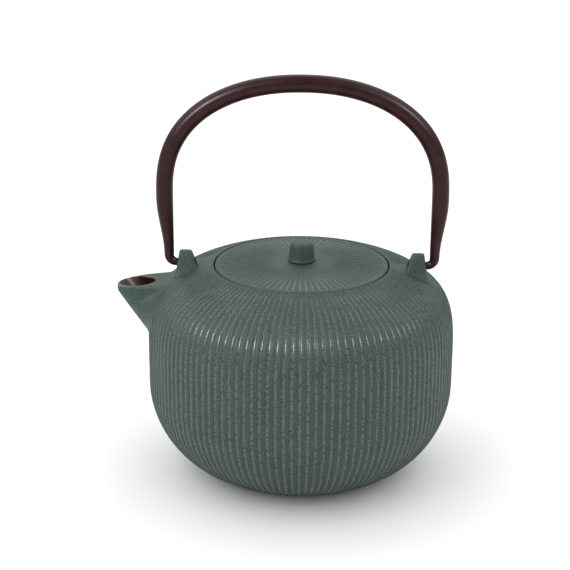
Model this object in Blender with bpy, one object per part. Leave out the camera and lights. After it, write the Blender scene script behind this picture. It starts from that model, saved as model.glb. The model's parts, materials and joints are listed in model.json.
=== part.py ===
"""Cast iron teapot: one hollow casting with a beak spout and two lugs, a flush lid with a riveted knob,
a tubular bail on two bent pins, and a stainless infuser that hangs in the mouth under the lid.
Metres, +Z up, spout towards -X, underside of the foot on z = 0 with the pot's axis on the origin."""

import math

import bmesh
import bpy
from mathutils import Vector

# ---------------------------------------------------------------- driving sizes
BODY_DIAMETER = 0.157       # across the straight band of the body
BODY_HEIGHT = 0.1085        # foot to the rim around the lid
FOOT_DIAMETER = 0.084
WALL = 0.0038               # iron wall
LID_DIAMETER = 0.0882
LID_GAP = 0.0007            # lid edge to mouth, all round
LID_RISE = 0.0016           # dome of the lid at its middle
LID_PLATE = 0.0037          # lid thickness
KNOB_HEIGHT = 0.0099
KNOB_FOOT_DIAMETER = 0.0140
KNOB_TOP_DIAMETER = 0.0119
RIVET_DIAMETER = 0.0034
LUG_HEIGHT = 0.0109         # lug top above the shoulder at the lug's middle
PIN_DIAMETER = 0.0040
PIN_PLAY = 0.00035          # pin to lug hole, all round
BAIL_RISE = 0.0931          # pin axis to the middle of the grip
BAIL_TUBE = 0.0090          # outside diameter of the grip
BAIL_END_TUBE = 0.0050      # outside diameter where the tube is swaged onto the pin
BAIL_SHEET = 0.0011         # sheet that the tube is rolled from
BAIL_SEAM = 0.0005          # slit along the inside of the bend
SPOUT_OUTSIDE = 0.0126      # half width of the spout at its root
SPOUT_LIP = 0.0026          # lip wall at the sides of the opening
INFUSER_DEPTH = 0.0480
SHEET = 0.0007              # stainless sheet
GAP = 0.0003                # between pieces that rest on each other
ROUND = 56                  # facets of the big round pieces

# ---------------------------------------------------------------- sizes that follow
R = BODY_DIAMETER / 2
RIM_R = LID_DIAMETER / 2 + LID_GAP
BAND_LOW = 0.423 * BODY_HEIGHT
BAND_HIGH = 0.624 * BODY_HEIGHT
LEDGE_Z = BODY_HEIGHT - LID_PLATE - 2 * GAP - SHEET
LEDGE_R = RIM_R - 0.0058
LEDGE_THICK = 0.0028
FLANGE_R = RIM_R - 0.0022
SLEEVE_R = LEDGE_R - 0.0007
LUG_X = RIM_R + 0.43 * (R - RIM_R)


for start_object in list(bpy.data.objects):
    bpy.data.objects.remove(start_object, do_unlink=True)


def material(name, colour, metallic, roughness):
    made = bpy.data.materials.new(name)
    made.use_nodes = True
    shader = made.node_tree.nodes["Principled BSDF"]
    shader.inputs["Base Color"].default_value = (*colour, 1)
    shader.inputs["Metallic"].default_value = metallic
    shader.inputs["Roughness"].default_value = roughness
    return made


def bezier(p0, p1, p2, p3, steps):
    """Points of a cubic curve, both ends included."""
    points = []
    for i in range(steps + 1):
        t = i / steps
        a, b, c, d = (1 - t) ** 3, 3 * t * (1 - t) ** 2, 3 * t * t * (1 - t), t ** 3
        points.append((a * p0[0] + b * p1[0] + c * p2[0] + d * p3[0], a * p0[1] + b * p1[1] + c * p2[1] + d * p3[1]))
    return points


def rounded(corners, steps=3):
    """An outline from (r, z, radius) corners, each rounded by its own radius."""
    points = []
    n = len(corners)
    for i, (x, z, radius) in enumerate(corners):
        here = Vector((x, z))
        if radius <= 0:
            points.append((x, z))
            continue
        to_a = (Vector(corners[i - 1][:2]) - here).normalized()
        to_b = (Vector(corners[(i + 1) % n][:2]) - here).normalized()
        half = to_a.angle(to_b) / 2
        reach = radius / math.tan(half)
        a, b = here + to_a * reach, here + to_b * reach
        centre = here + (to_a + to_b).normalized() * (radius / math.sin(half))
        start, end = a - centre, b - centre
        turn = start.angle_signed(end)
        for k in range(steps + 1):
            angle = -turn * k / steps
            c, s = math.cos(angle), math.sin(angle)
            points.append((centre.x + c * start.x - s * start.y, centre.y + s * start.x + c * start.y))
    return points


def finish(name, bm, mat, origin=(0, 0, 0), smooth_angle=40):
    """The bmesh as a named object with its origin where its joint is."""
    bmesh.ops.remove_doubles(bm, verts=bm.verts, dist=1e-7)
    bmesh.ops.dissolve_degenerate(bm, edges=bm.edges, dist=1e-8)
    bmesh.ops.recalc_face_normals(bm, faces=bm.faces)
    bmesh.ops.translate(bm, verts=bm.verts, vec=-Vector(origin))
    mesh = bpy.data.meshes.new(name)
    bm.to_mesh(mesh)
    bm.free()
    for face in mesh.polygons:
        face.use_smooth = True
    mesh.set_sharp_from_angle(angle=math.radians(smooth_angle))
    obj = bpy.data.objects.new(name, mesh)
    obj.location = origin
    bpy.context.scene.collection.objects.link(obj)
    if mat:
        mesh.materials.append(mat)
    return obj


def lathe(name, outline, mat, facets=ROUND, closed=True):
    """A solid of revolution about Z from an outline of (r, z) points."""
    bm = bmesh.new()
    verts = [bm.verts.new((max(r, 0.0), 0, z)) for r, z in outline]
    pairs = list(zip(verts, verts[1:])) + ([(verts[-1], verts[0])] if closed else [])
    edges = [bm.edges.new(pair) for pair in pairs if (pair[0].co - pair[1].co).length > 1e-9]
    bmesh.ops.spin(bm, geom=verts + edges, cent=(0, 0, 0), axis=(0, 0, 1), angle=2 * math.pi, steps=facets, use_merge=True)
    return finish(name, bm, mat)


def loft(name, rings, mat, origin=(0, 0, 0), smooth_angle=40):
    """A solid skinned over rings of equal length, with a cap on each end."""
    bm = bmesh.new()
    made = [[bm.verts.new(p) for p in ring] for ring in rings]
    n = len(made[0])
    for a, b in zip(made, made[1:]):
        for i in range(n):
            bm.faces.new((a[i], a[(i + 1) % n], b[(i + 1) % n], b[i]))
    bm.faces.new(made[0])
    bm.faces.new(list(reversed(made[-1])))
    return finish(name, bm, mat, origin, smooth_angle)


def helper(obj):
    obj.hide_render = True
    obj.display_type = "WIRE"
    return obj


def combine(obj, other, operation):
    step = obj.modifiers.new(operation.title() + " " + other.name, "BOOLEAN")
    step.operation = operation
    step.object = helper(other)
    step.solver = "EXACT"
    return step


# ---------------------------------------------------------------- the body's outline
def bowl(steps):
    """From the foot up to the straight band."""
    foot, run, lift = FOOT_DIAMETER / 2, 0.652 * (R - FOOT_DIAMETER / 2), math.radians(10.3)
    return bezier((foot, 0), (foot + run * math.cos(lift), run * math.sin(lift)), (R, 0.593 * BAND_LOW), (R, BAND_LOW), steps)


SHOULDER_TOP_R = RIM_R + 0.0010
SHOULDER_TOP_Z = BODY_HEIGHT - 0.0002


def shoulder(steps):
    """From the straight band up and in to the rim."""
    run, fall = 0.9035 * (R - SHOULDER_TOP_R), math.radians(15.5)
    return bezier(
        (R, BAND_HIGH),
        (R, BAND_HIGH + 0.58 * (BODY_HEIGHT - BAND_HIGH)),
        (SHOULDER_TOP_R + run * math.cos(fall), SHOULDER_TOP_Z - run * math.sin(fall)),
        (SHOULDER_TOP_R, SHOULDER_TOP_Z),
        steps,
    )


def shoulder_height(r):
    """Height of the shoulder's outer face at this radius."""
    points = shoulder(200)
    for (r0, z0), (r1, z1) in zip(points, points[1:]):
        if r1 <= r <= r0 and r0 > r1:
            return z0 + (z1 - z0) * (r0 - r) / (r0 - r1)
    return points[-1][1]


def offset_inwards(points, distance):
    moved = []
    for i, (r, z) in enumerate(points):
        a, b = points[max(i - 1, 0)], points[min(i + 1, len(points) - 1)]
        along = Vector((b[0] - a[0], b[1] - a[1])).normalized()
        moved.append((r - along.y * distance, z + along.x * distance))
    return moved


IRON = material("enamelled_iron", (0.075, 0.125, 0.100), 0.0, 0.5)
BAIL_PAINT = material("bail_enamel", (0.045, 0.022, 0.025), 0.0, 0.4)
STAINLESS = material("stainless", (0.62, 0.62, 0.61), 1.0, 0.3)
RIVET_STEEL = material("rivet_steel", (0.35, 0.35, 0.35), 1.0, 0.4)
KNOB_IRON = material("knob_iron", (0.075, 0.125, 0.100), 0.0, 0.45)


# ---------------------------------------------------------------- body casting
def body_outside():
    recess, pad = 0.0012, 0.24 * FOOT_DIAMETER / 2
    ring = 0.74 * FOOT_DIAMETER / 2
    underside = [(0, 0), (pad, 0), (pad + 0.0008, recess), (ring - 0.0008, recess), (ring, 0)]
    outer = bowl(9) + shoulder(10)
    mouth = [(RIM_R, BODY_HEIGHT)]
    top = [(0, BODY_HEIGHT)]
    return lathe("pot_body", underside + outer + mouth + top, IRON, closed=False)


def body_cavity():
    """Everything inside the wall, with the mouth, the lid's rebate and its ledge."""
    floor = 0.0012 + WALL
    low = [p for p in offset_inwards(bowl(8), WALL) if p[1] > floor + 0.0006]
    under = LEDGE_Z - LEDGE_THICK
    high = [p for p in offset_inwards(shoulder(9), WALL) if p[1] < under - 0.0006 and p[0] > LEDGE_R + 0.010]
    outline = [(0, floor), (low[0][0] - 0.006, floor)] + low + high
    outline += [(LEDGE_R + 0.0072, under), (LEDGE_R, under), (LEDGE_R, LEDGE_Z), (RIM_R, LEDGE_Z)]
    outline += [(RIM_R, BODY_HEIGHT + 0.004), (0, BODY_HEIGHT + 0.004)]
    return lathe("cut_cavity", outline, None, closed=False)


SPOUT_TIP_X = -R - 0.0160
SPOUT_TIP_Z = 0.886 * BODY_HEIGHT       # where the lower edge ends under the lip
SPOUT_ROOT_Z = 0.661 * BODY_HEIGHT      # where the lower edge leaves the body
SPOUT_ROOT_X = -R - 0.0006
SPOUT_AXIS_X = SPOUT_ROOT_X + 0.0091
LIP_TILT = math.tan(math.radians(4.9))
OPENING_LENGTH = 0.0193


def keel_x(z):
    """The spout's lower edge, seen from the side."""
    return SPOUT_ROOT_X + (z - SPOUT_ROOT_Z) * (SPOUT_TIP_X - SPOUT_ROOT_X) / (SPOUT_TIP_Z - SPOUT_ROOT_Z)


def spout_outside():
    low = SPOUT_ROOT_Z - 0.0080
    lip = SPOUT_TIP_Z + 0.0016
    levels = [low, SPOUT_ROOT_Z - 0.001, SPOUT_ROOT_Z + 0.008, SPOUT_ROOT_Z + 0.016, SPOUT_TIP_Z, lip]
    rings = []
    for z in levels:
        share = (min(z, SPOUT_TIP_Z) - low) / (SPOUT_TIP_Z - low)
        nose = keel_x(min(z, SPOUT_TIP_Z)) + (0.0006 if z > SPOUT_TIP_Z else 0)
        a = SPOUT_AXIS_X - nose
        b = SPOUT_OUTSIDE * (0.40 + 0.60 * math.sin(share * math.pi / 2))
        tilt = LIP_TILT * share
        ring = []
        for k in range(36):
            angle = 2 * math.pi * k / 36
            x = SPOUT_AXIS_X - a * math.cos(angle)
            ring.append((x, b * math.sin(angle), z + tilt * (x - nose)))
        rings.append(ring)
    return loft("spout_shape", rings, None)


def spout_channel():
    """A slanting oval bore from the lip down into the cavity."""
    lean = (SPOUT_TIP_X - SPOUT_ROOT_X) / (SPOUT_TIP_Z - SPOUT_ROOT_Z) * 1.16
    middle = SPOUT_TIP_X + 0.0013 + OPENING_LENGTH / 2
    width = SPOUT_OUTSIDE * 0.82 - SPOUT_LIP
    rings = []
    for z, grow in ((SPOUT_ROOT_Z, 1.0), (SPOUT_TIP_Z - 0.006, 1.0), (SPOUT_TIP_Z + 0.0100, 1.0)):
        x0 = middle + lean * (z - SPOUT_TIP_Z - 0.0016)
        rings.append(
            [
                (x0 - grow * OPENING_LENGTH / 2 * math.cos(2 * math.pi * k / 28), grow * width * math.sin(2 * math.pi * k / 28), z)
                for k in range(28)
            ]
        )
    return loft("cut_spout", rings, None)


LUG_FOOT_Z = shoulder_height(LUG_X)
PIVOT_Z = LUG_FOOT_Z + 0.0047
LUG_TOP_Z = LUG_FOOT_Z + LUG_HEIGHT
LUG_OUT_TOP = LUG_X + 0.0031            # outer face at the top of the lug
LUG_IN_TOP = LUG_X - 0.0034
LUG_OUT_LEAN, LUG_IN_LEAN, LUG_SIDE_LEAN = 0.18, 0.37, 0.26


def lug(side):
    """A small leaning block on the shoulder, in line with the spout."""
    bottom = LUG_FOOT_Z - 0.0045
    rings = []
    for z in (bottom, LUG_TOP_Z):
        down = LUG_TOP_Z - z
        xo, xi = LUG_OUT_TOP + LUG_OUT_LEAN * down, LUG_IN_TOP - LUG_IN_LEAN * down
        half = 0.0023 + LUG_SIDE_LEAN * down
        rings.append([(side * xo, half, z), (side * xi, half, z), (side * xi, -half, z), (side * xo, -half, z)])
    made = loft("lug_shape_" + ("rear" if side > 0 else "spout"), rings, None)
    bevel = made.modifiers.new("Soft edges", "BEVEL")
    bevel.width, bevel.segments, bevel.limit_method = 0.0011, 2, "ANGLE"
    return made


def lug_hole(side):
    radius = PIN_DIAMETER / 2 + PIN_PLAY
    rings = []
    for x in (LUG_X - 0.0075, LUG_X + 0.0075):
        rings.append([(side * x, radius * math.cos(2 * math.pi * k / 20), PIVOT_Z + radius * math.sin(2 * math.pi * k / 20)) for k in range(20)])
    return loft("cut_lug_" + ("rear" if side > 0 else "spout"), rings, None)


pot_body = body_outside()
combine(pot_body, spout_outside(), "UNION")
combine(pot_body, lug(-1), "UNION")
combine(pot_body, lug(1), "UNION")
combine(pot_body, body_cavity(), "DIFFERENCE")
combine(pot_body, spout_channel(), "DIFFERENCE")
combine(pot_body, lug_hole(-1), "DIFFERENCE")
combine(pot_body, lug_hole(1), "DIFFERENCE")

# ---------------------------------------------------------------- lid
LID_R = LID_DIAMETER / 2
LID_UNDER = BODY_HEIGHT - LID_PLATE
LID_HOLE_R = RIVET_DIAMETER / 2 + 0.0004
SKIRT_R = SLEEVE_R - SHEET - 0.0007


def dome(r):
    """Height of the lid's top face."""
    return BODY_HEIGHT + LID_RISE * (1 - (r / LID_R) ** 2)


def lid_plate():
    hub = KNOB_FOOT_DIAMETER / 2
    radii = [LID_HOLE_R, hub, 0.45 * LID_R, 0.72 * LID_R]
    top = [(r, dome(r), 0) for r in radii]
    edge = [(LID_R, BODY_HEIGHT, 0.0006), (LID_R, LID_UNDER, 0.0005)]
    skirt = [(SKIRT_R, LID_UNDER, 0), (SKIRT_R, LID_UNDER - 0.0048, 0.0006), (SKIRT_R - 0.0022, LID_UNDER - 0.0048, 0.0006)]
    inside = [(SKIRT_R - 0.0022, dome(SKIRT_R) - LID_PLATE, 0), (0.5 * LID_R, dome(0.5 * LID_R) - LID_PLATE, 0), (LID_HOLE_R, dome(0) - LID_PLATE, 0)]
    return lathe("lid_plate", rounded(top + edge + skirt + inside, 1), IRON)


def lid_knob():
    z0 = dome(0) + GAP
    foot, neck, top = KNOB_FOOT_DIAMETER / 2, 0.94 * KNOB_FOOT_DIAMETER / 2, KNOB_TOP_DIAMETER / 2
    bore, deep = LID_HOLE_R, 0.60 * KNOB_HEIGHT
    outline = [(0, z0 + deep), (bore, z0 + deep), (bore, z0)]
    outline += rounded([(bore, z0, 0), (foot, z0, 0.0004), (foot, z0 + 0.0009, 0.0003), (neck, z0 + 0.0013, 0), (top, z0 + KNOB_HEIGHT - 0.0002, 0.0012), (0, z0 + KNOB_HEIGHT + 0.0001, 0)], 2)[1:]
    return lathe("lid_knob", outline, KNOB_IRON, facets=32, closed=False)


WASHER_THICK = 0.0010


def knob_washer():
    under = dome(0) - LID_PLATE - GAP
    inner, outer = LID_HOLE_R, RIVET_DIAMETER / 2 + 0.0032
    return lathe("knob_washer", [(inner, under), (outer, under), (outer, under - WASHER_THICK), (inner, under - WASHER_THICK)], STAINLESS, facets=28)


def knob_rivet():
    """A domed head under the washer and a shank up through the lid into the knob."""
    head_top = dome(0) - LID_PLATE - 2 * GAP - WASHER_THICK
    shank, head, tall = RIVET_DIAMETER / 2, RIVET_DIAMETER / 2 + 0.0016, 0.0016
    tip = dome(0) + GAP + 0.60 * KNOB_HEIGHT - GAP
    outline = [(0, head_top - tall)]
    outline += [(head * math.sin(a), head_top - tall * math.cos(a)) for a in (math.radians(d) for d in (30, 60, 90))]
    outline += [(shank, head_top), (shank, tip - 0.0004), (shank - 0.0004, tip), (0, tip)]
    return lathe("knob_rivet", outline, RIVET_STEEL, facets=24, closed=False)


lid_plate()
lid_knob()
knob_washer()
knob_rivet()

# ---------------------------------------------------------------- bail
PIVOT = (0, 0, PIVOT_Z)
LEG_INSIDE = LUG_X + 0.0057              # inner edge of both legs, a little clear of the lugs
LEG_TUBE = 0.96 * BAIL_TUBE
LEG_END_Z = PIVOT_Z + 0.0042
SPRING_Z = PIVOT_Z + 0.393 * BAIL_RISE   # where the legs turn into the arch
BEND = 0.0038
LEG_END_X = LEG_INSIDE + BAIL_END_TUBE / 2


def eased(u):
    u = min(max(u, 0), 1)
    return u * u * (3 - 2 * u)


def leg_diameter(z):
    return BAIL_END_TUBE + (LEG_TUBE - BAIL_END_TUBE) * eased((z - LEG_END_Z) / (0.93 * (SPRING_Z - LEG_END_Z)))


def bail_centre():
    """(x, z, outside radius) along the bail, spout side to rear: a leg, a flattened arch, a leg."""
    legs, arch = 8, 28
    left = []
    for i in range(legs):
        z = LEG_END_Z + (SPRING_Z - LEG_END_Z) * i / legs
        d = leg_diameter(z)
        left.append((-(LEG_INSIDE + d / 2), z, d / 2))
    half_span, rise = LEG_INSIDE + LEG_TUBE / 2, PIVOT_Z + BAIL_RISE - SPRING_Z
    points = list(left)
    for i in range(arch + 1):
        angle = math.pi * i / arch
        c, s = math.cos(angle), math.sin(angle)
        x = -half_span * math.copysign(abs(c) ** (2 / 2.15), c)
        z = SPRING_Z + rise * abs(s) ** (2 / 2.40)
        points.append((x, z, (LEG_TUBE + (BAIL_TUBE - LEG_TUBE) * eased(2 * s)) / 2))
    return points + [(-x, z, r) for x, z, r in reversed(left)]


def in_plane_frames(points):
    """For each point of a path in the XZ plane: position, and the normal to its left."""
    frames = []
    for i, p in enumerate(points):
        a, b = points[max(i - 1, 0)], points[min(i + 1, len(points) - 1)]
        along = Vector((b[0] - a[0], 0, b[1] - a[1])).normalized()
        frames.append((Vector((p[0], 0, p[1])), Vector((-along.z, 0, along.x)), p[2]))
    return frames


def bail_tube():
    rings = []
    for centre, out, radius in in_plane_frames(bail_centre()):
        ring = []
        for r, turns in ((radius, 15), (radius - BAIL_SHEET, 11)):
            slit = math.asin(BAIL_SEAM / 2 / r)
            span = [slit + (2 * math.pi - 2 * slit) * k / (turns - 1) for k in range(turns)]
            for angle in span if r == radius else reversed(span):
                ring.append(centre - out * (r * math.cos(angle)) + Vector((0, r * math.sin(angle), 0)))
        rings.append(ring)
    return loft("bail_tube", rings, BAIL_PAINT, PIVOT, 35)


def bail_pin(side, name):
    """Solid pin: a plug in the tube's end, a bend, and the straight end that lies in the lug."""
    plug = BAIL_END_TUBE / 2 - BAIL_SHEET - GAP
    top = LEG_END_Z - GAP
    start, end = BAIL_END_TUBE / 2 - 0.0001, PIN_DIAMETER / 2
    path = [(LEG_END_X, top + 0.0066, plug), (LEG_END_X, top, plug), (LEG_END_X, top, start)]
    centre_x, centre_z = LEG_END_X - BEND, PIVOT_Z + BEND
    for k in range(7):
        angle = math.pi / 2 * k / 6
        path.append((centre_x + BEND * math.cos(angle), centre_z - BEND * math.sin(angle), start + (end - start) * k / 6))
    tip = LUG_X - 0.0043
    path += [(tip + 0.0008, PIVOT_Z, end), (tip, PIVOT_Z, end - 0.0008)]
    rings = []
    for i, (x, z, radius) in enumerate(path):
        if i < 3:
            out = Vector((1, 0, 0))
        elif i < 10:
            angle = math.pi / 2 * (i - 3) / 6
            out = Vector((math.cos(angle), 0, -math.sin(angle)))
        else:
            out = Vector((0, 0, -1))
        ring = []
        for k in range(16):
            angle = 2 * math.pi * k / 16
            p = Vector((x, 0, z)) + out * (radius * math.cos(angle)) + Vector((0, radius * math.sin(angle), 0))
            ring.append((side * p.x, p.y, p.z))
        rings.append(ring)
    return loft(name, rings, BAIL_PAINT, PIVOT, 35)


bail_tube()
bail_pin(-1, "bail_pin_spout_side")
bail_pin(1, "bail_pin_rear")

# ---------------------------------------------------------------- infuser
FLANGE_Z = LEDGE_Z + GAP
COLLAR_DEPTH = 0.24 * INFUSER_DEPTH
BASE_Z = FLANGE_Z + SHEET - INFUSER_DEPTH
MESH_R = SLEEVE_R - SHEET - 0.0009       # outside of the perforated sleeve
SLEEVE_TOP = LID_UNDER - 0.0048 - 0.0009


def infuser_rim():
    """Flange that hangs on the pot's ledge, turned down into a short collar."""
    outline = [
        (SLEEVE_R - SHEET, FLANGE_Z + SHEET, 0.0004),
        (FLANGE_R, FLANGE_Z + SHEET, 0),
        (FLANGE_R, FLANGE_Z, 0),
        (SLEEVE_R, FLANGE_Z, 0),
        (SLEEVE_R, FLANGE_Z - COLLAR_DEPTH, 0),
        (SLEEVE_R - SHEET, FLANGE_Z - COLLAR_DEPTH, 0),
    ]
    return lathe("infuser_rim", rounded(outline, 2), STAINLESS)


def perforated(rows, keep):
    """A skin of quads with windows left out."""
    bm = bmesh.new()
    grid = [[bm.verts.new(p) for p in row] for row in rows]
    n = len(grid[0])
    for j in range(len(grid) - 1):
        for i in range(n):
            if keep(i, j):
                bm.faces.new((grid[j][i], grid[j][(i + 1) % n], grid[j + 1][(i + 1) % n], grid[j + 1][i]))
    return bm


def infuser_wall():
    """Sleeve with rows of windows between plain bands at its top and bottom."""
    n, low = 40, BASE_Z + SHEET + GAP
    heights = [low, low + 0.0050]
    windows = 4
    top = FLANGE_Z - COLLAR_DEPTH
    pitch = (top - 0.0015 - heights[-1]) / windows
    for k in range(windows):
        heights += [heights[1] + pitch * k + 0.45 * pitch, heights[1] + pitch * (k + 1)]
    heights += [SLEEVE_TOP]
    rows = [[(MESH_R * math.cos(2 * math.pi * i / n), MESH_R * math.sin(2 * math.pi * i / n), z) for i in range(n)] for z in heights]
    last = len(heights) - 2
    bm = perforated(rows, lambda i, j: not (1 <= j < last and j % 2 == 1 and i % 2 == 0))
    made = finish("infuser_wall", bm, STAINLESS, smooth_angle=30)
    sheet = made.modifiers.new("Sheet", "SOLIDIFY")
    sheet.thickness, sheet.offset, sheet.use_even_offset = SHEET, -1.0, True
    return made


def infuser_base():
    """Shallow cup around the foot of the sleeve, with a ring of windows in its floor."""
    n = 48
    inner, outer = SLEEVE_R - 0.0002, SLEEVE_R - 0.0002
    radii = [0.0045, 0.0100, 0.0155, 0.0210, 0.0265, 0.0315, outer]
    scale = outer / 0.0384
    rows = [[(0.0012 * math.cos(2 * math.pi * i / n), 0.0012 * math.sin(2 * math.pi * i / n), BASE_Z) for i in range(n)]]
    rows += [[(r * scale * math.cos(2 * math.pi * i / n), r * scale * math.sin(2 * math.pi * i / n), BASE_Z) for i in range(n)] for r in radii[:-1]]
    rows += [[(inner * math.cos(2 * math.pi * i / n), inner * math.sin(2 * math.pi * i / n), z) for i in range(n)] for z in (BASE_Z, BASE_Z + 0.0050)]
    bm = perforated(rows, lambda i, j: not ((j in (2, 4) and i % 3 == 0)))
    centre = [v for v in bm.verts if v.co.xy.length < 0.0013]
    bmesh.ops.contextual_create(bm, geom=centre)
    made = finish("infuser_base", bm, STAINLESS, smooth_angle=30)
    sheet = made.modifiers.new("Sheet", "SOLIDIFY")
    sheet.thickness, sheet.offset, sheet.use_even_offset = SHEET, -1.0, True
    return made


infuser_rim()
infuser_wall()
infuser_base()
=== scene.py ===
# %% [markdown]
# # A ribbed cast iron teapot
# This lesson dresses a measured teapot in its real surfaces. The measured model comes first, as a
# fixed frame: its bodies are the pot, the bail handle, the strainer basket and the lid. Every piece
# made below takes its place from that frame and rides on one of those four bodies, so that the
# handle still swings and the lid still lifts.

# %% Load the measured frame
import json
import math

import bmesh
import bpy
import numpy as np
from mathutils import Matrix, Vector


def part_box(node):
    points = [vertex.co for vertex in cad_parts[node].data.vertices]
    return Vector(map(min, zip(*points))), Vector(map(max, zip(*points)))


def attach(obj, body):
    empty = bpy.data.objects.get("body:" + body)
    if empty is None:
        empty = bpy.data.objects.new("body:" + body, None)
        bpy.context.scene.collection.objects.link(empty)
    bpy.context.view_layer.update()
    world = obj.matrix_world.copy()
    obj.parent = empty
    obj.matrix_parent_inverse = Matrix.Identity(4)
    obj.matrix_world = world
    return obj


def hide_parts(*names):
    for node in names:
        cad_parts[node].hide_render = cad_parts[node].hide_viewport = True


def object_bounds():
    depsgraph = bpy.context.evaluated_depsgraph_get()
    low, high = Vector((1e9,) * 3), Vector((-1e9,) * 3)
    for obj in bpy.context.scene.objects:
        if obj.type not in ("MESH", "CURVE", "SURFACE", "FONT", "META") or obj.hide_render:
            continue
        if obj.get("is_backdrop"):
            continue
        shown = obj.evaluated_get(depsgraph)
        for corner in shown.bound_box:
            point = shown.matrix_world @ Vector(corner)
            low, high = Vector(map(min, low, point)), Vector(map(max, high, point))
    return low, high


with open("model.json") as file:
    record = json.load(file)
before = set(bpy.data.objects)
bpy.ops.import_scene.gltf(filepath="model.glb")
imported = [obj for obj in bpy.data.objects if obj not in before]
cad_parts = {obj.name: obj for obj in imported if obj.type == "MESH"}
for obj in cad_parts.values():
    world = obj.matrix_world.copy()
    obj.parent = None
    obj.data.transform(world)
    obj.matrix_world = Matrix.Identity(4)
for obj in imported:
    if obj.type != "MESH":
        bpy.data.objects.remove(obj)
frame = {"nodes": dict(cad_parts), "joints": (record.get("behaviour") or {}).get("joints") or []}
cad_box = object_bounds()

# %% [markdown]
# ## Working as by hand
# Each operator acts on everything that is selected, so the first helper leaves nothing selected.
# The others choose one piece, open a new primitive in edit mode, and close it again: its doubled
# points are welded, its faces turned outwards, and its place is moved into its mesh.

# %% Helpers for the bench
def clear_bench():
    """Object mode, with nothing selected."""
    if bpy.context.mode != "OBJECT":
        bpy.ops.object.mode_set(mode="OBJECT")
    bpy.ops.object.select_all(action="DESELECT")


def choose(piece):
    """Selects one piece and nothing else."""
    clear_bench()
    piece.select_set(True)
    bpy.context.view_layer.objects.active = piece


def open_piece(name):
    """Names the primitive that was just added and opens it in edit mode, all selected."""
    piece = bpy.context.object
    piece.name = piece.data.name = name
    bpy.ops.object.mode_set(mode="EDIT")
    bpy.ops.mesh.select_mode(type="VERT")
    bpy.ops.mesh.select_all(action="SELECT")
    return piece


def close_piece(piece, angle=35, weld=1e-6):
    """Welds, turns the faces outwards, smooths, and moves the place into the mesh."""
    bpy.ops.mesh.select_all(action="SELECT")
    bpy.ops.mesh.remove_doubles(threshold=weld)
    bpy.ops.mesh.normals_make_consistent(inside=False)
    bpy.ops.object.mode_set(mode="OBJECT")
    choose(piece)
    bpy.ops.object.transform_apply(location=True, rotation=True, scale=True)
    bpy.ops.object.shade_smooth_by_angle(angle=math.radians(angle))
    return piece


def report(piece):
    piece.data.calc_loop_triangles()
    print(f"{piece.name}: {len(piece.data.loop_triangles)} triangles")


clear_bench()
print("the bench is clear, selected:", len(bpy.context.selected_objects))

# %% [markdown]
# ## Sizes that the frame gives
# The body's widest radius, the spout's tip and the handle's pivot are read from the frame, and the
# rest are the sizes that the frame was drawn to, so nothing here has to be fitted afterwards.

# %% Sizes of the pot
MM = 0.001
body_low, body_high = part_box("pot_body")
BODY_R = body_high.y
LID_R = 44.1 * MM
MOUTH_R = LID_R + 0.7 * MM
RIM_Z = 108.5 * MM
BAND_LOW, BAND_HIGH = 0.423 * RIM_Z, 0.624 * RIM_Z
FOOT_R = 42 * MM
WALL = 3.8 * MM
LEDGE_Z, LEDGE_R, LEDGE_THICK = 103.5 * MM, 39 * MM, 2.8 * MM
PIVOT_Z = frame["joints"][0]["pos_m"][2]
LUG_X = 59.29 * MM
TIP_X, TIP_Z = body_low.x, 0.886 * RIM_Z
ROOT_X, ROOT_Z = -BODY_R - 0.6 * MM, 0.661 * RIM_Z
print("body radius", round(BODY_R, 4), "spout tip", round(TIP_X, 4))
print("height of the handle's pivot", round(PIVOT_Z, 4))

# %% [markdown]
# ## The body's two long curves
# Below and above its straight band the body follows two long curves. They are drawn once more as
# Bezier curves, because a drawn curve is smoother than the frame's facets. The same curves, moved
# inwards by the wall's thickness, give the inside.

# %% Draw the curves of bowl and shoulder
BOWL_PULL, BOWL_LIFT = 0.652, math.radians(10.3)
SHOULDER_PULL, SHOULDER_FALL = 0.9035, math.radians(15.5)


def bezier(p0, p1, p2, p3, steps):
    curve = []
    for i in range(steps + 1):
        t = i / steps
        a, b, c, d = (1 - t) ** 3, 3 * t * (1 - t) ** 2, 3 * t * t * (1 - t), t**3
        curve.append(tuple(a * p0[k] + b * p1[k] + c * p2[k] + d * p3[k] for k in (0, 1)))
    return curve


def bowl_curve(steps):
    run = BOWL_PULL * (BODY_R - FOOT_R)
    leave = (FOOT_R + run * math.cos(BOWL_LIFT), run * math.sin(BOWL_LIFT))
    return bezier((FOOT_R, 0), leave, (BODY_R, 0.593 * BAND_LOW), (BODY_R, BAND_LOW), steps)


def shoulder_curve(steps):
    top_r, top_z = MOUTH_R + 1.0 * MM, RIM_Z - 0.2 * MM
    run = SHOULDER_PULL * (BODY_R - top_r)
    leave = (BODY_R, BAND_HIGH + 0.58 * (RIM_Z - BAND_HIGH))
    arrive = (top_r + run * math.cos(SHOULDER_FALL), top_z - run * math.sin(SHOULDER_FALL))
    return bezier((BODY_R, BAND_HIGH), leave, arrive, (top_r, top_z), steps)


def set_in(curve, distance):
    """The same curve, moved inwards by a wall's thickness."""
    moved = []
    for i, (r, z) in enumerate(curve):
        a, b = curve[max(i - 1, 0)], curve[min(i + 1, len(curve) - 1)]
        along = Vector((b[0] - a[0], b[1] - a[1])).normalized()
        moved.append((r - along.y * distance, z + along.x * distance))
    return moved


print("the bowl rises to", round(BAND_LOW, 4), "and the shoulder starts at", round(BAND_HIGH, 4))

# %% [markdown]
# ## The casting: one thick iron shell
# A cast iron pot is poured in one go into sand, with a core for the hollow, so wall, ledge, spout
# and lugs are one piece. Its section is drawn once, outside up and inside down, and spun. 126 ribs
# run round it, and each rib gets eight columns of the spin, so that a groove has a floor, two
# sloping sides and a rounded crest beside it.

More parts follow.
